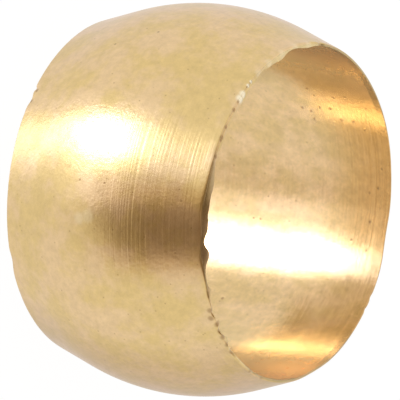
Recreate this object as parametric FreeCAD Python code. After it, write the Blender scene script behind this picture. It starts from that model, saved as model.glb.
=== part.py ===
"""Compression olive: a barrel-shaped sealing ring, turned from brass bar in one piece.

A nut pushes the olive into the coned mouth of a pipe fitting, and its two tapered flanks are
squeezed down until the bore grips the tube. The ring stands on its lower end: the origin is the
centre of that end, and +Z runs along the bore.
"""

import math
import os

import FreeCAD
import Part

# Driving dimensions, in millimetres
TUBE_DIAMETER = 10.0    # outside of the tube that the olive slips over
TUBE_CLEARANCE = 0.05   # gap between tube and bore, all round
LENGTH = 7.10           # from end to end
CROWN_WALL = 0.87       # thickest wall, at the middle of the barrel
CROWN_BAND = 2.30       # width of the crown before its two shoulders are turned into one round
END_LAND = 0.03         # flat ring left at each end of the bore
RIM_ROUND = 0.06        # radius from the flat ring to the flank

# Radii and heights of the section that follow from them
BORE_RADIUS = TUBE_DIAMETER / 2 + TUBE_CLEARANCE
CROWN_RADIUS = BORE_RADIUS + CROWN_WALL
MID_HEIGHT = LENGTH / 2

NODE_NAME = "olive"
PARTS_FOLDER = "parts"
BORE_AXIS = FreeCAD.Vector(0, 0, 1)
ORIGIN = FreeCAD.Vector(0, 0, 0)
FULL_TURN = 360


def section_point(radius, above_middle):
    """A point of the section, by its distance from the bore axis and its height over mid length."""
    return FreeCAD.Vector(radius, 0, MID_HEIGHT + above_middle)


def flank_slope():
    """Angle in radians between the bore axis and a flank.

    Each flank is the straight line from the crown's shoulder that touches the rim's round.
    """
    along = MID_HEIGHT - RIM_ROUND - CROWN_BAND / 2
    inward = CROWN_WALL - END_LAND
    to_round_centre = math.atan2(inward, along)
    return to_round_centre - math.asin(RIM_ROUND / math.hypot(along, inward))


def half_outline(side):
    """Edges from the bore's end out to the crown's round, and the point where they stop.

    side is +1 for the upper half of the section and -1 for the lower half.
    """
    slope = flank_slope()
    half_band = CROWN_BAND / 2
    land_radius = BORE_RADIUS + END_LAND

    def on_round(angle):
        """A point of the rim's round; angle is measured from the bore axis direction."""
        radius = land_radius + RIM_ROUND * math.sin(angle)
        return section_point(radius, side * (MID_HEIGHT - RIM_ROUND + RIM_ROUND * math.cos(angle)))

    round_end = math.pi / 2 - slope
    bore_end = section_point(BORE_RADIUS, side * MID_HEIGHT)
    crown_end = section_point(
        CROWN_RADIUS - half_band * math.sin(slope),
        side * half_band * (1 + math.cos(slope)),
    )
    edges = [
        Part.LineSegment(bore_end, on_round(0)).toShape(),
        Part.Arc(on_round(0), on_round(round_end / 2), on_round(round_end)).toShape(),
        Part.LineSegment(on_round(round_end), crown_end).toShape(),
    ]
    return edges, bore_end, crown_end


def olive():
    """The ring: its section turned once round the bore axis."""
    upper_edges, upper_bore_end, upper_crown_end = half_outline(+1)
    lower_edges, lower_bore_end, lower_crown_end = half_outline(-1)
    crown = Part.Arc(upper_crown_end, section_point(CROWN_RADIUS, 0), lower_crown_end).toShape()
    bore = Part.LineSegment(lower_bore_end, upper_bore_end).toShape()
    outline = Part.Wire(Part.__sortEdges__([*upper_edges, crown, *lower_edges, bore]))
    return Part.Face(outline).revolve(ORIGIN, BORE_AXIS, FULL_TURN)


def main():
    """Builds the ring and writes its STEP file."""
    os.makedirs(PARTS_FOLDER, exist_ok=True)
    ring = olive()
    ring.exportStep(os.path.join(PARTS_FOLDER, NODE_NAME + ".step"))
    print(
        NODE_NAME,
        "valid" if ring.isValid() else "not valid",
        f"volume {ring.Volume:.2f} mm3",
        f"crown {2 * CROWN_RADIUS:.2f} mm, bore {2 * BORE_RADIUS:.2f} mm, length {LENGTH:.2f} mm",
        f"flank {math.degrees(flank_slope()):.1f} degrees",
    )


main()
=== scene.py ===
"""A brass compression olive that stands on its end, with the finish and the wear of its photograph.

The ring is turned from its section, its rims are worn, and it is finished as turned and tumbled
brass, with glints, highlights, shade and reflected gold painted into its colour. In the classes
lengths are millimetres and angles are degrees, unless a name says otherwise.
An angle round the ring runs from +X towards +Y, and a height is measured from the lower end.
"""

import logging
import math
from dataclasses import dataclass
from enum import Enum
from functools import reduce
from typing import Any, Union

import bmesh
import bpy
from mathutils import Matrix, Vector, noise


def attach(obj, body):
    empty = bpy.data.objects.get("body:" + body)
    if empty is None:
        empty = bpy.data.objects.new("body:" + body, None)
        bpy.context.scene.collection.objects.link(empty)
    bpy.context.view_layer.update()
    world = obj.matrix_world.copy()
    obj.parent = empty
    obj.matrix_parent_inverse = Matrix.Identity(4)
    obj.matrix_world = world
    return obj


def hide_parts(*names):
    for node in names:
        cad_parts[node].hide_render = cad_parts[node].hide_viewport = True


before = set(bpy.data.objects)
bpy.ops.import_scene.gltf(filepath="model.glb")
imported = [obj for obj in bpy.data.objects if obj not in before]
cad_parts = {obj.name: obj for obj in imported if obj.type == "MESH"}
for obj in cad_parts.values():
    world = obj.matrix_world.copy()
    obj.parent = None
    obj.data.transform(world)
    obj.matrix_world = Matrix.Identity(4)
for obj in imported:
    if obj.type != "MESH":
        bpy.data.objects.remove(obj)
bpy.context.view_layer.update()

LOG = logging.getLogger("olive")
MM = 0.001
BORE_AXIS = Vector((0, 0, 1))
WHITE = (1.0, 1.0, 1.0, 1.0)
CAMERA_RAY = "Is Camera Ray"

Number = Union["Value", float, int]
Colour = tuple[float, float, float, float]
Span = tuple[float, float]
SectionPoint = tuple[float, float]


class Body(Enum):
    """The bodies that a piece can ride on."""

    RING = "root"


class Face(Enum):
    """The two faces of the ring's wall."""

    BORE = "bore"
    OUTSIDE = "outside"


class Measure(Enum):
    """What can be measured on one or two vectors."""

    ALONG = "DOT_PRODUCT"
    LENGTH = "LENGTH"
    DISTANCE = "DISTANCE"


def bearing(angle: float) -> Vector:
    """The level direction at an angle round the ring."""
    turn = math.radians(angle)
    return Vector((math.cos(turn), math.sin(turn), 0))


def bell(offset: float, reach: float) -> float:
    """A bell curve: 1 at no offset, about a third at the reach, and then soon nothing."""
    return math.exp(-((offset / reach) ** 2))


@dataclass(frozen=True)
class Scar:
    """A nick, a burr's lip or a rolled corner in the edge of a rim."""

    angle: float
    spread: float
    depth: float

    def at(self, angle: float) -> float:
        """How deep the scar is at an angle round the ring."""
        off = (angle - self.angle + 180.0) % 360.0 - 180.0
        return self.depth * bell(off, self.spread)


def scars(*marks: tuple[float, float, float]) -> tuple[Scar, ...]:
    """Scars of a rim, each given by its angle, spread and depth."""
    return tuple(Scar(*mark) for mark in marks)


def worn(rim_scars: tuple[Scar, ...], angle: float) -> float:
    """How deep all the scars together are at an angle round the ring."""
    return sum(scar.at(angle) for scar in rim_scars)


@dataclass(frozen=True)
class Speck:
    """A round mark on a face: a pit, a burr with a painted glint, a spot of painted highlight or of
    painted shade, a swelling or a patch of tone.
    """

    face: Face
    angle: float
    height: float
    size: float


def specks(face: Face, *marks: tuple[float, float, float]) -> tuple[Speck, ...]:
    """Marks on one face, each given by its angle, height and size."""
    return tuple(Speck(face, *mark) for mark in marks)


@dataclass(frozen=True)
class Sector:
    """A stretch of the ring, which fades in between two distances towards its middle."""

    angle: float
    fade: Span


@dataclass(frozen=True)
class Pattern:
    """A noise: its cells to a millimetre, its finer layers, how strong they are, and its stretch."""

    scale: float = 1.0
    detail: float = 2.0
    roughness: float = 0.5
    stretch: tuple[float, float, float] = (1.0, 1.0, 1.0)


@dataclass(frozen=True)
class Gloss:
    """How a metal shines: its roughness, and how far its highlights run along the bore axis."""

    roughness: float
    anisotropy: float


class Value:
    """A node's output, with arithmetic that adds Math nodes."""

    def __init__(self, sheet: "Sheet", socket: bpy.types.NodeSocket) -> None:
        """Keeps the sheet and the socket.

        Args:
            sheet: The node sheet that the socket is on.
            socket: An output socket.
        """
        self.sheet = sheet
        self.socket = socket

    def _math(self, operation: str, first: Number, second: Number = 0.0) -> "Value":
        """Adds a Math node.

        Args:
            operation: The Math node's operation.
            first: First number.
            second: Second number, where the operation takes two.

        Returns:
            The node's result.
        """
        return self.sheet.node("ShaderNodeMath", {"operation": operation}, {0: first, 1: second})

    def __add__(self, other: Number) -> "Value":
        """Sum."""
        return self._math("ADD", self, other)

    __radd__ = __add__

    def __sub__(self, other: Number) -> "Value":
        """Difference."""
        return self._math("SUBTRACT", self, other)

    def __rsub__(self, other: Number) -> "Value":
        """Difference, with the number first."""
        return self._math("SUBTRACT", other, self)

    def __mul__(self, other: Number) -> "Value":
        """Product."""
        return self._math("MULTIPLY", self, other)

    __rmul__ = __mul__

    def __abs__(self) -> "Value":
        """Size without sign."""
        return self._math("ABSOLUTE", self)

    def above(self, other: Number) -> "Value":
        """The larger of the two."""
        return self._math("MAXIMUM", self, other)

    def step(self, start: float, end: float) -> "Value":
        """A soft step from 0 at start to 1 at end.

        Args:
            start: Where the step leaves 0.
            end: Where it reaches 1; below start for a step that falls.

        Returns:
            The step's value.
        """
        settings = {"interpolation_type": "SMOOTHSTEP", "clamp": True}
        low, high, first, last = (start, end, 0.0, 1.0) if start < end else (end, start, 1.0, 0.0)
        limits = {"From Min": low, "From Max": high, "To Min": first, "To Max": last}
        return self.sheet.node("ShaderNodeMapRange", settings, {"Value": self, **limits}, "Result")


class Sheet:
    """A node tree that is cleared and built up again."""

    def __init__(self, tree: bpy.types.NodeTree) -> None:
        """Clears the tree.

        Args:
            tree: The node tree of a material or of the world.
        """
        self.tree = tree
        tree.nodes.clear()

    def node(
        self,
        kind: str,
        settings: dict[str, Any] | None = None,
        sockets: dict[Any, Any] | None = None,
        output: Any = 0,
    ) -> Value:
        """Adds one node.

        Args:
            kind: The node's type name.
            settings: The node's own properties, set before its sockets.
            sockets: Values or links by socket name or number.
            output: Name or number of the output that is given back.

        Returns:
            The chosen output.
        """
        made = self.tree.nodes.new(kind)
        for name, setting in (settings or {}).items():
            setattr(made, name, setting)
        for name, content in (sockets or {}).items():
            if isinstance(content, Value):
                self.tree.links.new(content.socket, made.inputs[name])
            else:
                made.inputs[name].default_value = content
        return Value(self, made.outputs[output]) if made.outputs else Value(self, None)

    def mix(self, factor: Number, first: Any, second: Any) -> Value:
        """Mixes two colours.

        Args:
            factor: 0 for the first colour, 1 for the second.
            first: First colour or link.
            second: Second colour or link.

        Returns:
            The mixed colour.
        """
        # By number, because the node's sockets for numbers and vectors have the same names
        sockets = {0: factor, 6: first, 7: second}
        return self.node("ShaderNodeMix", {"data_type": "RGBA"}, sockets, 2)

    def layered(self, factor: Number, first: Value, second: Value) -> Value:
        """Mixes two shaders, with a factor of 0 for the first and 1 for the second."""
        return self.node("ShaderNodeMixShader", {}, {0: factor, 1: first, 2: second})

    def scaled(self, vector: Value, scale: tuple[float, float, float]) -> Value:
        """A vector with each of its parts multiplied."""
        return self.node("ShaderNodeVectorMath", {"operation": "MULTIPLY"}, {0: vector, 1: scale})

    def measure(self, kind: Measure, vector: Value, other: Vector = BORE_AXIS) -> Value:
        """A number from a vector and, apart from its length, from another one.

        Args:
            kind: What is measured.
            vector: The vector that varies.
            other: A fixed direction or point.

        Returns:
            The measure.
        """
        sockets = {0: vector, 1: tuple(other)}
        return self.node("ShaderNodeVectorMath", {"operation": kind.value}, sockets, "Value")

    def noise(self, vector: Value, pattern: Pattern) -> Value:
        """Noise from 0 to 1.

        Args:
            vector: The place on the surface.
            pattern: The noise's settings.

        Returns:
            The noise's value.
        """
        sockets = {
            "Vector": self.scaled(vector, pattern.stretch),
            "Scale": pattern.scale,
            "Detail": pattern.detail,
            "Roughness": pattern.roughness,
        }
        return self.node("ShaderNodeTexNoise", {}, sockets)


class RingMap:
    """What a finish reads at a point of the ring: its place, its height and its depth in the wall."""

    # Share of a mark's size that is marked in full
    speck_core: float = 0.3

    def __init__(self, sheet: Sheet, ring: "Olive") -> None:
        """Adds the nodes that find the point.

        Args:
            sheet: The material's sheet.
            ring: The ring that the material is for.
        """
        self.sheet = sheet
        self.ring = ring
        metres = sheet.node("ShaderNodeTexCoord", {}, {}, "Object")
        self.place = sheet.scaled(metres, (1 / MM, 1 / MM, 1 / MM))
        self.height = sheet.measure(Measure.ALONG, self.place, BORE_AXIS)
        level = sheet.scaled(self.place, (1, 1, 0))
        self.wall = sheet.measure(Measure.LENGTH, level) - ring.bore_radius
        self.sideways = abs(self.toward(0.0))

    def toward(self, angle: float) -> Value:
        """How far the point lies from the bore axis towards an angle round the ring."""
        return self.sheet.measure(Measure.ALONG, self.place, bearing(angle))

    def sector(self, sector: Sector) -> Value:
        """A mask of one stretch of the ring."""
        return self.toward(sector.angle).step(*sector.fade)

    def noise(self, pattern: Pattern) -> Value:
        """Noise from 0 to 1 at the point."""
        return self.sheet.noise(self.place, pattern)

    def spot(self, speck: Speck) -> Value:
        """A mask of one round mark, which fades from its core to its edge.

        Args:
            speck: The mark.

        Returns:
            1 in the mark's core and 0 outside the mark.
        """
        centre = self.ring.point(speck.face, speck.angle, speck.height)
        away = self.sheet.measure(Measure.DISTANCE, self.place, centre)
        return away.step(speck.size, speck.size * self.speck_core)

    def spots(self, marks: tuple[Speck, ...]) -> Value:
        """A mask of several round marks: 1 in their cores and 0 outside them."""
        return reduce(Value.above, map(self.spot, marks))


@dataclass(frozen=True)
class Marks:
    """Where the marks, the patches of tone and the spots of painted glints, highlights and shade lie on
    the ring.
    """

    pits: tuple[Speck, ...] = (
        *specks(
            Face.BORE,
            (55.0, 2.05, 0.075), (75.0, 4.10, 0.055), (80.0, 6.45, 0.055), (83.0, 5.85, 0.06),
            (86.0, 2.20, 0.055), (86.0, 2.45, 0.055), (90.0, 6.40, 0.07), (100.0, 6.30, 0.055),
            (102.0, 6.60, 0.06), (109.0, 6.75, 0.055), (123.0, 6.30, 0.06), (125.0, 4.50, 0.06),
            (126.0, 5.50, 0.075), (126.0, 5.95, 0.075), (128.0, 4.45, 0.065), (129.0, 4.15, 0.075),
            (130.0, 4.80, 0.07), (130.0, 5.20, 0.07), (132.0, 6.55, 0.07), (135.0, 4.75, 0.06),
            (135.0, 5.45, 0.06), (136.0, 5.90, 0.06), (138.0, 4.60, 0.06), (144.0, 6.90, 0.07),
            (149.0, 4.95, 0.055), (152.0, 6.45, 0.06), (-123.0, 7.10, 0.10), (-116.0, 7.10, 0.09),
            (-112.0, 7.10, 0.11), (-111.0, 7.10, 0.08), (-105.0, 7.10, 0.09),
        ),
        *specks(
            Face.OUTSIDE,
            (-144.0, 3.55, 0.055), (-137.0, 2.40, 0.055), (-120.0, 0.15, 0.09), (-116.0, 0.10, 0.09),
            (-91.0, 3.10, 0.055), (-91.0, 4.00, 0.05), (-51.0, 7.05, 0.14), (-48.0, 7.00, 0.13),
            (-45.0, 7.10, 0.14), (-42.0, 7.10, 0.13), (-39.0, 7.10, 0.14), (-35.0, 7.10, 0.12),
            (-31.0, 7.10, 0.14), (-17.0, 7.10, 0.11), (-9.0, 7.10, 0.12),
        ),
    )
    # Burrs: raised in the relief, with a painted glint in their pale colour
    burrs_and_painted_glints: tuple[Speck, ...] = (
        *specks(Face.BORE, (-130.0, 7.10, 0.17), (-128.0, 7.10, 0.19)),
        *specks(Face.OUTSIDE, (-136.0, 7.10, 0.08), (-134.0, 7.10, 0.09)),
    )
    # Painted highlights: pale spots along the bore's upper lip and on the crown
    painted_highlights: tuple[Speck, ...] = (
        *specks(
            Face.BORE,
            (-172.0, 7.10, 0.20), (-164.0, 7.10, 0.20), (-156.0, 7.10, 0.20), (-148.0, 7.10, 0.20),
            (-141.0, 7.10, 0.18),
        ),
        *specks(Face.OUTSIDE, (-81.0, 3.50, 0.30), (-80.0, 3.20, 0.26)),
    )
    # Painted shade: darker spots along the band where the outside mirrors the dark room
    painted_shade_spots: tuple[Speck, ...] = specks(
        Face.OUTSIDE,
        (-93.0, 5.50, 0.55), (-93.0, 6.25, 0.55), (-92.0, 4.75, 0.55), (-91.0, 3.95, 0.55),
        (-81.0, 4.10, 0.75), (-77.0, 4.55, 0.60),
    )
    swells: tuple[Speck, ...] = specks(Face.BORE, (49.0, 4.00, 1.6))
    olive_patches: tuple[Speck, ...] = specks(
        Face.OUTSIDE,
        (-130.0, 6.40, 0.8), (-122.0, 6.20, 1.1), (-82.0, 1.20, 1.0), (-78.0, 4.00, 0.8),
        (-52.0, 5.40, 1.2), (-43.0, 4.60, 1.0),
    )
    pink_patches: tuple[Speck, ...] = specks(
        Face.OUTSIDE,
        (-138.0, 3.90, 1.0), (-126.0, 3.20, 1.1), (-119.0, 2.70, 0.8), (-64.0, 2.40, 1.2),
        (-48.0, 3.40, 0.9),
    )
    dark_clouds: tuple[Speck, ...] = specks(
        Face.BORE,
        (63.0, 4.55, 0.60), (103.0, 3.20, 0.45), (103.0, 4.50, 0.55), (108.0, 5.75, 0.70),
        (118.0, 2.95, 0.55), (120.0, 3.90, 0.60), (120.0, 4.80, 0.60),
    )
    pale_clouds: tuple[Speck, ...] = specks(
        Face.BORE,
        (52.0, 3.80, 0.70), (90.0, 1.60, 0.50), (94.0, 3.00, 0.60), (109.0, 3.40, 0.50),
        (110.0, 4.50, 0.45), (111.0, 1.70, 0.60),
    )


@dataclass(frozen=True)
class TurnedBrass:
    """Satin brass: tumbled outside, lined on the upper flank, reamed in the bore, with small marks and
    with painted glints, highlights, shade and reflected gold.

    Heights say where a change along the bore axis starts and ends, walls say the same of a change
    outwards from the bore, and reaches of a change sideways from the bore axis. An edge is a pair
    of noise values or distances in a cell. A share is how much of a tone or a mark shows.
    """

    slot: str = "brass"
    marks: Marks = Marks()
    outside_wall: Span = (0.01, 0.05)

    # Tones of the outside and of the bore
    olive_tone: Colour = (0.715, 0.52, 0.225, 1.0)
    pink_tone: Colour = (0.765, 0.55, 0.30, 1.0)
    bore_olive: Colour = (0.685, 0.49, 0.23, 1.0)
    bore_pink: Colour = (0.785, 0.555, 0.305, 1.0)
    patches: Pattern = Pattern(0.9, 4.0, 0.65)
    patch_edge: Span = (0.36, 0.64)
    clouds: Pattern = Pattern(1.5, 4.0, 0.6, (1.0, 1.0, 0.45))
    cloud_edge: Span = (0.34, 0.66)
    patch_shift: float = 0.11
    mottle: Pattern = Pattern(4.0, 4.0, 0.75)
    outside_mottle: float = 0.44
    bore_mottle: float = 0.60

    # Painted reflection: the deeper gold of double reflections towards the mouth; and the paler sides of
    # the bore with their dull film
    painted_reflection_gold: Colour = (0.75, 0.48, 0.195, 1.0)
    painted_gold_sector: Sector = Sector(110.0, (4.04, 4.75))
    painted_gold_heights: Span = (4.4, 6.6)
    painted_gold_share: float = 0.85
    side_tone: Colour = (0.74, 0.57, 0.27, 1.0)
    side_reach: Span = (3.03, 4.80)
    side_share: float = 0.7
    film_tone: Colour = (0.93, 0.80, 0.50, 1.0)
    film_reach: Span = (2.78, 4.80)
    film_gain: float = 0.20
    film_share: float = 0.02

    # The upper rim: a lip in the outside's tone, and stretches of painted shade where the rim mirrors
    # the dark room
    lip: Sector = Sector(-118.0, (4.21, 4.61))
    lip_wall: Span = (0.01, -0.02)
    lip_heights: Span = (6.98, 7.04)
    painted_shade_sectors: tuple[Sector, ...] = (
        Sector(-81.0, (4.5, 4.75)),
        Sector(155.0, (4.3, 4.8)),
        Sector(15.0, (3.98, 4.58)),
    )
    brim_wall: Span = (0.08, 0.03)
    brim_heights: Span = (6.86, 6.92)
    brim_shade: float = 0.35

    # Marks, and the painted glints, highlights and shade
    pit_tone: Colour = (0.30, 0.17, 0.075, 1.0)
    pit_share: float = 0.62
    pit_depth: float = 0.002
    scatter_scale: float = 2.8
    scatter_edge: Span = (0.11, 0.03)
    scatter_share: float = 0.7
    # How dark the painted shade of the band's spots is
    painted_shade_share: float = 0.16
    # Painted glint of the burrs, which is also the colour of the painted highlights
    painted_glint_tone: Colour = (0.97, 0.86, 0.62, 1.0)
    burr_height: float = 0.02
    # How much of the painted highlights shows
    painted_highlight_share: float = 0.26
    swell_height: float = 0.025

    # Shine
    outside_gloss: Gloss = Gloss(0.293, 0.6)
    bore_gloss: Gloss = Gloss(0.22, 0.2)
    mouth_gloss: Gloss = Gloss(0.262, 0.85)
    mouth_heights: Span = (4.0, 6.4)
    gloss_swing: float = 0.03
    edge_tint: Colour = (0.90, 0.90, 0.98, 1.0)
    streak_turn: float = 0.25

    # Fine relief
    grain: Pattern = Pattern(9.0, 3.0, 0.6)
    grain_depth: float = 0.006
    bore_grain: float = 0.25
    flank_grain: float = 0.65
    flank_heights: Span = (3.6, 5.0)
    lines: Pattern = Pattern(1.0, 2.0, 0.55, (0.16, 0.16, 11.0))
    line_depth: float = 0.0115
    low_lines: float = 0.1
    reaming: Pattern = Pattern(1.0, 2.0, 0.6, (0.25, 0.25, 9.0))
    ream_depth: float = 0.007
    ream_heights: Span = (4.8, 6.8)
    low_reaming: float = 0.4
    waves: Pattern = Pattern(1.2, 2.0, 0.5)
    wave_height: float = 0.006

    def material(self, ring: "Olive") -> bpy.types.Material:
        """Makes the material.

        Args:
            ring: The ring that it is for.

        Returns:
            The brass material, on Object coordinates.
        """
        material = bpy.data.materials.new("turned_brass")
        material.use_nodes = True
        sheet = Sheet(material.node_tree)
        at = RingMap(sheet, ring)
        outside = at.wall.step(*self.outside_wall)
        grain = at.noise(self.grain)
        pits = at.spots(self.marks.pits).above(self.scatter(at) * self.scatter_share)
        # Burrs: a real raised relief, and a painted glint in the colour
        burrs_and_painted_glints = at.spots(self.marks.burrs_and_painted_glints)
        relief = self.relief(at, outside, grain) - pits * self.pit_depth + burrs_and_painted_glints * self.burr_height
        bump = sheet.node("ShaderNodeBump", {}, {"Strength": 1.0, "Distance": MM, "Height": relief})
        colour = self.colour(at, outside, pits, burrs_and_painted_glints)
        uneven = (grain - 0.5) * self.gloss_swing
        turned = self.shader(colour, uneven, self.outside_gloss, bump)
        reamed = self.shader(colour, uneven, self.bore_gloss, bump)
        mouth = self.shader(colour, uneven, self.mouth_gloss, bump)
        bore = sheet.layered(at.height.step(*self.mouth_heights), reamed, mouth)
        film = sheet.node("ShaderNodeBsdfDiffuse", {}, {"Color": self.film_tone})
        filming = at.sideways.step(*self.film_reach) * self.film_gain + self.film_share
        surface = sheet.layered(outside, sheet.layered(filming, bore, film), turned)
        sheet.node("ShaderNodeOutputMaterial", {}, {"Surface": surface})
        return material

    def colour(self, at: RingMap, outside: Value, pits: Value, burrs_and_painted_glints: Value) -> Value:
        """The metal's colour, with its mottling, its marks, and its painted glints, highlights, shade
        and reflected gold.

        Args:
            at: The map of the ring.
            outside: 1 outside and 0 in the bore.
            pits: Mask of the pits.
            burrs_and_painted_glints: Mask of each burr, whose colour carries a painted glint.

        Returns:
            The colour.
        """
        sheet = at.sheet
        tone = sheet.mix(outside.above(self.skinned_lip(at)), self.lining(at), self.skin(at))
        swing = self.bore_mottle - outside * (self.bore_mottle - self.outside_mottle)
        mottle = (at.noise(self.mottle) - 0.5) * swing + 1.0
        # Random mottle, darkened by painted shade on stretches of the upper rim
        shade = mottle * (1 - self.brim_painted_shade(at) * self.brim_shade)
        metal = sheet.node("ShaderNodeVectorMath", {"operation": "SCALE"}, {0: tone, "Scale": shade})
        # Pits, and painted shade along the band where the outside mirrors the dark room
        pits_and_painted_shade = pits * self.pit_share + at.spots(self.marks.painted_shade_spots) * self.painted_shade_share
        # Painted glints on the burrs, and painted highlights along the lip and on the crown
        painted_glints_and_highlights = burrs_and_painted_glints.above(at.spots(self.marks.painted_highlights) * self.painted_highlight_share)
        return sheet.mix(painted_glints_and_highlights, sheet.mix(pits_and_painted_shade, metal, self.pit_tone), self.painted_glint_tone)

    def skin(self, at: RingMap) -> Value:
        """Colour of the outside, in patches of two tones.

        Args:
            at: The map of the ring.

        Returns:
            The colour.
        """
        shift = self.shift(at, self.marks.pink_patches, self.marks.olive_patches)
        patches = (at.noise(self.patches) + shift).step(*self.patch_edge)
        return at.sheet.mix(patches, self.olive_tone, self.pink_tone)

    def lining(self, at: RingMap) -> Value:
        """Colour of the bore: clouds of two tones, painted reflection gold towards the mouth, and pale
        at the sides.

        Args:
            at: The map of the ring.

        Returns:
            The colour.
        """
        shift = self.shift(at, self.marks.pale_clouds, self.marks.dark_clouds)
        clouds = (at.noise(self.clouds) + shift).step(*self.cloud_edge)
        clouded = at.sheet.mix(clouds, self.bore_olive, self.bore_pink)
        # Painted reflection: the deeper gold that double reflections give towards the mouth
        painted_gold = at.height.step(*self.painted_gold_heights) * at.sector(self.painted_gold_sector) * self.painted_gold_share
        clouds_and_painted_gold = at.sheet.mix(painted_gold, clouded, self.painted_reflection_gold)
        return at.sheet.mix(at.sideways.step(*self.side_reach) * self.side_share, clouds_and_painted_gold, self.side_tone)

    def shift(self, at: RingMap, raised: tuple[Speck, ...], lowered: tuple[Speck, ...]) -> Value:
        """How far a noise is moved where a patch of one tone or the other lies.

        Args:
            at: The map of the ring.
            raised: Patches that raise the noise.
            lowered: Patches that lower it.

        Returns:
            The amount to add to the noise.
        """
        return (at.spots(raised) - at.spots(lowered)) * self.patch_shift

    def skinned_lip(self, at: RingMap) -> Value:
        """A mask of the lip inside the bore that keeps the outside's tone."""
        lip = at.wall.step(*self.lip_wall) * at.height.step(*self.lip_heights)
        return lip * at.sector(self.lip)

    def brim_painted_shade(self, at: RingMap) -> Value:
        """A mask of the upper rim's stretches that get painted shade, where the rim mirrors the dark
        room.
        """
        brim = at.wall.step(*self.brim_wall) * at.height.step(*self.brim_heights)
        return brim * reduce(Value.above, map(at.sector, self.painted_shade_sectors))

    def scatter(self, at: RingMap) -> Value:
        """A mask of tiny dark points scattered over the whole ring.

        Args:
            at: The map of the ring.

        Returns:
            1 inside a point and 0 outside.
        """
        sockets = {"Vector": at.place, "Scale": self.scatter_scale}
        away = at.sheet.node("ShaderNodeTexVoronoi", {"feature": "F1"}, sockets, "Distance")
        return away.step(*self.scatter_edge)

    def relief(self, at: RingMap, outside: Value, grain: Value) -> Value:
        """Height of the fine relief: grain, turning lines, reaming, waves and the swelling.

        Args:
            at: The map of the ring.
            outside: 1 outside and 0 in the bore.
            grain: Fine noise.

        Returns:
            The relief in millimetres.
        """
        flank = at.height.step(*self.flank_heights)
        mouth = at.height.step(*self.ream_heights)
        line_share = flank * (1 - self.low_lines) + self.low_lines
        lined = at.noise(self.lines) * outside * line_share * self.line_depth
        ream_share = mouth * (1 - self.low_reaming) + self.low_reaming
        reamed = at.noise(self.reaming) * (1 - outside) * ream_share * self.ream_depth
        outside_gain = (1 - self.bore_grain) - flank * (1 - self.flank_grain)
        grained = grain * (outside * outside_gain + self.bore_grain) * self.grain_depth
        waved = at.noise(self.waves) * self.wave_height
        return lined + reamed + grained + waved + at.spots(self.marks.swells) * self.swell_height

    def shader(self, colour: Value, uneven: Value, gloss: Gloss, bump: Value) -> Value:
        """One metal shader, whose streaks run along the bore axis.

        Args:
            colour: The metal's colour.
            uneven: What is added to the roughness.
            gloss: How the metal shines.
            bump: The bumped normal.

        Returns:
            The shader.
        """
        sockets = {
            "Base Color": colour,
            "Metallic": 1.0,
            "Roughness": uneven + gloss.roughness,
            "Specular Tint": self.edge_tint,
            "Anisotropic": gloss.anisotropy,
            "Anisotropic Rotation": self.streak_turn,
            "Normal": bump,
        }
        return colour.sheet.node("ShaderNodeBsdfPrincipled", {}, sockets)


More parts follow.
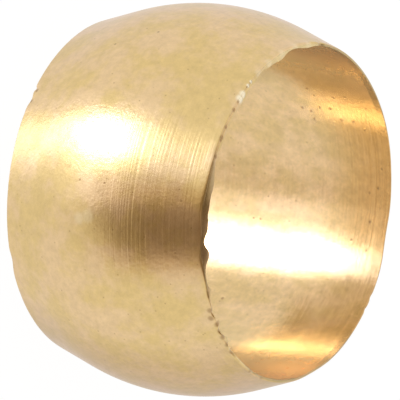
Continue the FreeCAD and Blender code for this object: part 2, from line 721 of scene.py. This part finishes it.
@dataclass
class Olive:
    """The ring: a barrel-shaped section turned round the bore axis, with worn rims."""

    # The section, with the same driving sizes as the solid
    bore_radius: float = 5.05
    crown_wall: float = 0.87
    length: float = 7.10
    crown_band: float = 2.30
    end_land: float = 0.03
    rim_round: float = 0.06

    # How finely it is divided
    fine_reach: float = 0.45
    fine_bore_steps: int = 10
    bore_steps: int = 12
    land_steps: int = 3
    round_steps: int = 7
    fine_flank_steps: int = 8
    flank_steps: int = 7
    crown_steps: int = 26
    octant_steps: int = 90
    weld: float = 1e-4
    sharp_angle: float = 50.0

    # Wear of the rims, each kind with how far down it fades
    wear_reach: float = 0.6
    ragged: float = 0.02
    ragged_scale: float = 20.0
    ragged_offset: float = 7.0
    ragged_falloff: float = 0.7
    ragged_gap: float = 2.0
    ragged_layers: int = 3
    rear_ragged: float = 0.15
    lower_ragged: float = 0.4
    lips: tuple[Scar, ...] = scars(
        (-171.0, 6.0, 0.08), (-155.0, 4.0, 0.14), (-148.0, 5.0, 0.10), (-138.0, 3.0, 0.12),
        (-130.0, 4.0, 0.16), (-122.0, 6.0, 0.15), (-110.0, 7.0, 0.12), (-96.0, 5.5, 0.24),
        (-87.0, 5.5, 0.17), (-80.0, 3.4, 0.17), (-71.0, 3.4, 0.25), (-58.0, 1.6, 0.15),
        (-45.0, 1.5, 0.12), (-37.0, 1.5, 0.10),
    )
    lip_reach: float = 0.11
    rolls: tuple[Scar, ...] = scars((-86.0, 6.5, 0.09), (-73.0, 6.5, 0.09))
    roll_reach: float = 0.07
    rolled_width: float = 0.28
    nicks: tuple[Scar, ...] = scars(
        (-50.0, 1.2, 0.05), (-42.0, 1.2, 0.05), (-31.0, 2.0, 0.05), (-15.0, 1.5, 0.04),
        (-9.0, 3.0, 0.04), (22.0, 9.0, 0.07), (59.0, 1.0, 0.03), (64.0, 1.2, 0.03),
        (86.0, 9.0, 0.085), (103.0, 14.0, 0.05), (180.0, 1.2, 0.06),
    )
    nick_reach: float = 0.25
    lower_scars: tuple[Scar, ...] = scars(
        (-121.0, 0.8, 0.06), (-117.0, 2.2, 0.06), (-60.0, 3.0, 0.05), (35.0, 2.0, 0.07),
        (104.0, 3.0, 0.05), (163.0, 1.8, 0.06),
    )
    lower_reach: float = 0.22

    @property
    def slope(self) -> float:
        """Angle in radians between the bore axis and a flank.

        Returns:
            The angle of the line from the crown's shoulder that touches the rim's round.
        """
        along = self.length / 2 - self.rim_round - self.crown_band / 2
        inward = self.crown_wall - self.end_land
        return math.atan2(inward, along) - math.asin(self.rim_round / math.hypot(along, inward))

    def outside_radius(self, height: float) -> float:
        """Radius of the outside at a height above the lower end.

        Args:
            height: Height in millimetres.

        Returns:
            The radius in millimetres.
        """
        slope, half = self.slope, self.crown_band / 2
        away = abs(height - self.length / 2)
        crown = self.bore_radius + self.crown_wall
        below_end = self.length / 2 - away
        if below_end < self.rim_round * (1 - math.sin(slope)):
            rise = self.rim_round - below_end
            return self.bore_radius + self.end_land + math.sqrt(self.rim_round**2 - rise**2)
        if away > half * (1 + math.cos(slope)):
            return crown - (away - half) * math.tan(slope)
        sweep = half / math.tan(slope / 2)
        return crown - sweep + math.sqrt(sweep**2 - away**2)

    def point(self, face: Face, angle: float, height: float) -> Vector:
        """A point on one of the wall's faces.

        Args:
            face: Bore or outside.
            angle: Degrees round the ring.
            height: Millimetres above the lower end.

        Returns:
            The point in millimetres.
        """
        radius = self.bore_radius if face is Face.BORE else self.outside_radius(height)
        return bearing(angle) * radius + BORE_AXIS * height

    def arc(
        self, bm: bmesh.types.BMesh, start: Any, centre: SectionPoint, angle: float, steps: int
    ) -> Any:
        """Swings a vertex round a centre in the section's plane.

        Args:
            bm: The mesh that is being made.
            start: The vertex that the arc starts from.
            centre: The arc's centre, as radius and height.
            angle: Swing in radians, from +Z towards +X.
            steps: Number of edges.

        Returns:
            The arc's last vertex.
        """
        middle = (centre[0], 0, centre[1])
        swung = bmesh.ops.spin(bm, geom=[start], cent=middle, axis=(0, 1, 0), angle=angle, steps=steps)
        return swung["geom_last"][0]

    def run(self, bm: bmesh.types.BMesh, start: Any, end: SectionPoint, steps: int) -> Any:
        """Draws a vertex along a straight line in the section's plane.

        Args:
            bm: The mesh that is being made.
            start: The vertex that the line starts from.
            end: Where it ends, as radius and height.
            steps: Number of edges.

        Returns:
            The line's last vertex.
        """
        stride = (Vector((end[0], 0, end[1])) - start.co) / steps
        drawn = bmesh.ops.spin(
            bm, geom=[start], cent=(0, 0, 0), dvec=stride, axis=(0, 1, 0), steps=steps
        )
        return drawn["geom_last"][0]

    def section(self, bm: bmesh.types.BMesh) -> None:
        """Draws the closed section of the ring's wall in the XZ plane, finely near the ends.

        Args:
            bm: An empty mesh.
        """
        slope, half, middle = self.slope, self.crown_band / 2, self.length / 2
        bore, land = self.bore_radius, self.bore_radius + self.end_land
        crown_round = half / math.tan(slope / 2)
        crown_centre = (bore + self.crown_wall - crown_round, middle)
        crown_start = middle + half * (1 + math.cos(slope))
        swing = math.pi / 2 - slope
        touch = self.rim_round * (1 - math.sin(slope))
        fine = self.length - self.fine_reach

        def outside(height: float) -> SectionPoint:
            """Radius and height of a point of the outside."""
            return self.outside_radius(height), height

        tip = bm.verts.new((bore, 0, 0))
        tip = self.run(bm, tip, (bore, self.fine_reach), self.fine_bore_steps)
        tip = self.run(bm, tip, (bore, fine), self.bore_steps)
        tip = self.run(bm, tip, (bore, self.length), self.fine_bore_steps)
        tip = self.run(bm, tip, (land, self.length), self.land_steps)
        tip = self.arc(bm, tip, (land, self.length - self.rim_round), swing, self.round_steps)
        tip = self.run(bm, tip, outside(fine), self.fine_flank_steps)
        tip = self.run(bm, tip, outside(crown_start), self.flank_steps)
        tip = self.arc(bm, tip, crown_centre, 2 * slope, self.crown_steps)
        tip = self.run(bm, tip, outside(self.fine_reach), self.flank_steps)
        tip = self.run(bm, tip, outside(touch), self.fine_flank_steps)
        tip = self.arc(bm, tip, (land, self.rim_round), swing, self.round_steps)
        self.run(bm, tip, (bore, 0), self.land_steps)
        bmesh.ops.remove_doubles(bm, verts=bm.verts, dist=self.weld)

    def turn(self, bm: bmesh.types.BMesh) -> None:
        """Turns the section through an eighth of a turn and doubles that piece until it is a ring.

        Args:
            bm: The mesh that holds the section.
        """
        eighth = math.pi / 4
        section = bm.verts[:] + bm.edges[:]
        bmesh.ops.spin(
            bm, geom=section, cent=(0, 0, 0), axis=BORE_AXIS, angle=eighth, steps=self.octant_steps
        )
        for eighths in (1, 2, 4):
            copied = bmesh.ops.duplicate(bm, geom=bm.verts[:] + bm.edges[:] + bm.faces[:])
            fresh = [item for item in copied["geom"] if isinstance(item, bmesh.types.BMVert)]
            turned = Matrix.Rotation(eighth * eighths, 3, "Z")
            bmesh.ops.rotate(bm, cent=(0, 0, 0), matrix=turned, verts=fresh)
        bmesh.ops.remove_doubles(bm, verts=bm.verts, dist=self.weld)
        bmesh.ops.recalc_face_normals(bm, faces=bm.faces)

    def wear(self, bm: bmesh.types.BMesh) -> None:
        """Makes the rims ragged, with the lips, nicks and rolled corner of parting and tumbling.

        Args:
            bm: The turned ring, in millimetres.
        """
        for vertex in bm.verts:
            x, y, height = vertex.co
            upper = height > self.length / 2
            depth = self.length - height if upper else height
            if depth > self.wear_reach:
                continue
            radius = math.hypot(x, y)
            outward = Vector((x, y, 0)) / radius
            angle = math.degrees(math.atan2(y, x))
            rough = self.raggedness(outward, upper)
            if upper:
                radius, drop = self.worn_upper(radius, depth, angle, rough)
                height -= drop
            else:
                cut = max(0.0, worn(self.lower_scars, angle) + self.lower_ragged * rough)
                height += cut * bell(depth, self.lower_reach)
            vertex.co = outward * radius + BORE_AXIS * height

    def raggedness(self, outward: Vector, upper: bool) -> float:
        """How ragged a rim is at a point, least on the side that is turned from the camera.

        Args:
            outward: Direction from the bore axis to the point.
            upper: Whether the point is on the upper rim.

        Returns:
            The raggedness in millimetres, inwards or outwards.
        """
        place = outward * self.ragged_scale + BORE_AXIS * (self.ragged_offset * upper)
        rough = noise.fractal(place, self.ragged_falloff, self.ragged_gap, self.ragged_layers)
        front = math.sqrt(max(0.0, -outward.y))
        return rough * self.ragged * (self.rear_ragged + (1 - self.rear_ragged) * front)

    def worn_upper(self, radius: float, depth: float, angle: float, rough: float) -> tuple[float, float]:
        """Where a point of the upper rim comes to lie.

        A roll follows the worn radius, so that it stays one cone however wide the lip is.

        Args:
            radius: The point's distance from the bore axis.
            depth: How far it lies below the upper end.
            angle: Degrees round the ring.
            rough: The rim's raggedness there.

        Returns:
            The point's new radius, and how far it drops.
        """
        rim_width = self.end_land + self.rim_round
        inner = max(0.0, 1 - (radius - self.bore_radius) / rim_width)
        radius -= (worn(self.lips, angle) + rough) * inner * bell(depth, self.lip_reach)
        fall = 1 - (self.bore_radius + rim_width - radius) / self.rolled_width
        drop = worn(self.nicks, angle) * bell(depth, self.nick_reach)
        drop += worn(self.rolls, angle) * min(max(fall, 0.0), 1.0) * bell(depth, self.roll_reach)
        return radius, drop

    def build(self, finish: TurnedBrass) -> bpy.types.Object:
        """Turns the section into the ring, wears its rims and dresses it.

        Args:
            finish: The ring's finish.

        Returns:
            The ring's object, at the origin.
        """
        bm = bmesh.new()
        self.section(bm)
        self.turn(bm)
        self.wear(bm)
        for face in bm.faces:
            face.smooth = True
        for edge in bm.edges:
            edge.smooth = edge.calc_face_angle(0.0) < math.radians(self.sharp_angle)
        bmesh.ops.scale(bm, vec=(MM, MM, MM), verts=bm.verts)
        mesh = bpy.data.meshes.new("olive_ring")
        bm.to_mesh(mesh)
        bm.free()
        ring = bpy.data.objects.new("olive_ring", mesh)
        bpy.context.scene.collection.objects.link(ring)
        mesh.materials.append(finish.material(self))
        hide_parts("olive")
        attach(ring, Body.RING.value)
        return ring


@dataclass
class PhotoCamera:
    """The camera: where the photograph was taken from, turned as it was held.

    Its rise is the angle above the ring's side, and the target falls on the target pixel.
    """

    rise: float = 33.64
    roll: float = 7.61
    distance: float = 316.7
    pixels_per_mm: float = 33.218
    image_side: int = 400
    target: tuple[float, float, float] = (0.0, 0.0, 3.55)
    target_pixel: tuple[float, float] = (201.20, 199.63)
    film: float = 36.0
    nearest: float = 10.0

    def axes(self) -> tuple[Vector, Vector, Vector]:
        """The image's own directions in the ring's frame.

        Returns:
            Directions to the image's right, to its top and back to the camera.
        """
        rise, roll = math.radians(self.rise), math.radians(self.roll)
        across = Vector((1, 0, 0))
        upward = Vector((0, math.sin(rise), math.cos(rise)))
        back = Vector((0, -math.cos(rise), math.sin(rise)))
        right = upward * math.cos(roll) - across * math.sin(roll)
        top = upward * -math.sin(roll) - across * math.cos(roll)
        return right, top, back

    def direction(self, side: float, height: float) -> Vector:
        """A direction from the ring, as the photograph's viewer would name it.

        Args:
            side: Degrees to the right of the camera.
            height: Degrees above the camera.

        Returns:
            The direction in the ring's frame.
        """
        right, top, back = self.axes()
        level = math.cos(math.radians(height))
        return (
            right * level * math.sin(math.radians(side))
            + top * math.sin(math.radians(height))
            + back * level * math.cos(math.radians(side))
        )

    def build(self) -> bpy.types.Object:
        """Makes the scene's camera.

        Returns:
            The camera's object.
        """
        right, top, back = self.axes()
        data = bpy.data.cameras.new("photo_camera")
        data.sensor_width = self.film
        data.lens = self.film * self.pixels_per_mm * self.distance / self.image_side
        data.clip_start = self.nearest * MM
        camera = bpy.data.objects.new("photo_camera", data)
        shift_right = (self.image_side / 2 - self.target_pixel[0]) / self.pixels_per_mm
        shift_up = (self.target_pixel[1] - self.image_side / 2) / self.pixels_per_mm
        aim = Vector(self.target) + right * shift_right + top * shift_up
        camera.matrix_world = Matrix((right, top, back)).transposed().to_4x4()
        camera.location = (aim + back * self.distance) * MM
        bpy.context.scene.collection.objects.link(camera)
        bpy.context.scene.camera = camera
        return camera


@dataclass(frozen=True)
class Softbox:
    """One panel of the key light, placed and sized in degrees as seen from the ring.

    Its level is its brightness, with the white surround as 1.
    """

    name: str
    side: float
    height: float
    wide: float
    tall: float
    level: float
    distance: float = 200.0
    colour: tuple[float, float, float] = (0.96, 1.0, 1.22)

    def span(self, angle: float) -> float:
        """The panel's size in metres that fills an angle seen from the ring."""
        return 2 * self.distance * math.tan(math.radians(angle) / 2) * MM

    def build(self, camera: PhotoCamera) -> bpy.types.Object:
        """Makes the panel as an area lamp whose width runs along the bore axis.

        Args:
            camera: The camera, which side and height are measured from.

        Returns:
            The lamp's object.
        """
        toward = camera.direction(self.side, self.height)
        data = bpy.data.lights.new(self.name, "AREA")
        data.shape = "RECTANGLE"
        data.color = self.colour
        data.size = self.span(self.wide)
        data.size_y = self.span(self.tall)
        data.energy = self.level * math.pi * data.size * data.size_y
        lamp = bpy.data.objects.new(self.name, data)
        across = toward.cross(BORE_AXIS).normalized()
        along = across.cross(toward)
        lamp.matrix_world = Matrix((along, across, toward)).transposed().to_4x4()
        lamp.location = (Vector(camera.target) + toward * self.distance) * MM
        bpy.context.scene.collection.objects.link(lamp)
        return lamp


@dataclass
class Studio:
    """A pale table lit from all sides, with one softbox and a darker room behind the camera.

    Fades and the room's top and foot are pairs of cosines, between which a change runs from a
    direction of the studio. Depths are shares of the way from the white surround into the room.
    """

    camera: PhotoCamera
    floor_half: float = 400.0
    glow: float = 0.93
    glow_strength: float = 1.035
    room: Colour = (0.23, 0.16, 0.10, 1.0)
    room_side: float = 15.0
    room_fade: Span = (0.0, 0.45)
    room_top: Span = (0.36, -0.20)
    room_foot: Span = (-0.74, -0.42)
    room_depth: Span = (0.35, 1.0)
    room_edge: Colour = (0.72, 0.54, 0.36, 1.0)
    edge_depth: Span = (0.0, 0.5)
    under: Colour = (0.79, 0.76, 0.73, 1.0)
    under_side: float = 180.0
    under_height: float = -42.0
    under_fade: Span = (0.78, 0.95)
    softboxes: tuple[Softbox, ...] = (
        Softbox("softbox_core", -67.0, 31.0, 12.5, 16.0, 10.5),
        Softbox("softbox_face", -69.0, 29.0, 26.0, 28.0, 1.1),
        Softbox("softbox_skirt", -68.0, 16.0, 24.0, 32.0, 0.6),
        Softbox("softbox_far_wing", -106.0, 21.5, 42.0, 11.0, 1.7),
        Softbox("softbox_near_wing", -44.0, 31.5, 18.0, 17.0, 1.5),
    )

    def paint(self) -> bpy.types.Material:
        """White paint that the camera sees nearly as white as the surround.

        Returns:
            The table's material.
        """
        material = bpy.data.materials.new("white_table")
        material.use_nodes = True
        sheet = Sheet(material.node_tree)
        matt = sheet.node("ShaderNodeBsdfDiffuse", {}, {"Color": WHITE})
        shine = sheet.node("ShaderNodeEmission", {}, {"Color": WHITE, "Strength": self.glow_strength})
        seen = sheet.node("ShaderNodeLightPath", {}, {}, CAMERA_RAY)
        mixed = sheet.layered(seen * self.glow, matt, shine)
        sheet.node("ShaderNodeOutputMaterial", {}, {"Surface": mixed})
        return material

    def floor(self) -> bpy.types.Object:
        """The table top, which keeps a faint shadow and lets reflections through.

        Returns:
            The floor's object.
        """
        bm = bmesh.new()
        bmesh.ops.create_grid(bm, x_segments=1, y_segments=1, size=self.floor_half * MM)
        mesh = bpy.data.meshes.new("table_top")
        bm.to_mesh(mesh)
        bm.free()
        table = bpy.data.objects.new("table_top", mesh)
        bpy.context.scene.collection.objects.link(table)
        mesh.materials.append(self.paint())
        table.visible_glossy = False
        table.visible_shadow = False
        return table

    def surround(self) -> None:
        """White light from all sides, and a darker room in front for the metal to mirror."""
        world = bpy.data.worlds.new("white_surround")
        world.use_nodes = True
        bpy.context.scene.world = world
        sheet = Sheet(world.node_tree)
        heading = sheet.node("ShaderNodeTexCoord", {}, {}, "Generated")
        _, top, _ = self.camera.axes()
        room_middle = self.camera.direction(self.room_side, 0.0)
        under_middle = self.camera.direction(self.under_side, self.under_height)
        facing = sheet.measure(Measure.ALONG, heading, room_middle).step(*self.room_fade)
        upward = sheet.measure(Measure.ALONG, heading, top)
        level = upward.step(*self.room_top) * upward.step(*self.room_foot)
        below = sheet.measure(Measure.ALONG, heading, under_middle).step(*self.under_fade)
        unseen = 1 - sheet.node("ShaderNodeLightPath", {}, {}, CAMERA_RAY)
        depth = facing * level * unseen
        edge = sheet.mix(depth.step(*self.edge_depth), WHITE, self.room_edge)
        front = sheet.mix(depth.step(*self.room_depth), edge, self.room)
        colour = sheet.mix(below * unseen, front, self.under)
        light = sheet.node("ShaderNodeBackground", {}, {"Color": colour, "Strength": 1.0})
        sheet.node("ShaderNodeOutputWorld", {}, {"Surface": light})


def main() -> None:
    """Builds the ring, the studio and the camera."""
    logging.basicConfig(level=logging.INFO, format="%(name)s: %(message)s")
    bpy.context.scene.view_settings.view_transform = "Standard"
    ring = Olive().build(TurnedBrass())
    LOG.info("%s: %d faces", ring.name, len(ring.data.polygons))
    camera = PhotoCamera()
    LOG.info("%s made", camera.build().name)
    studio = Studio(camera)
    LOG.info("%s made", studio.floor().name)
    studio.surround()
    for softbox in studio.softboxes:
        LOG.info("%s made", softbox.build(camera).name)


if __name__ == "__main__":
    main()
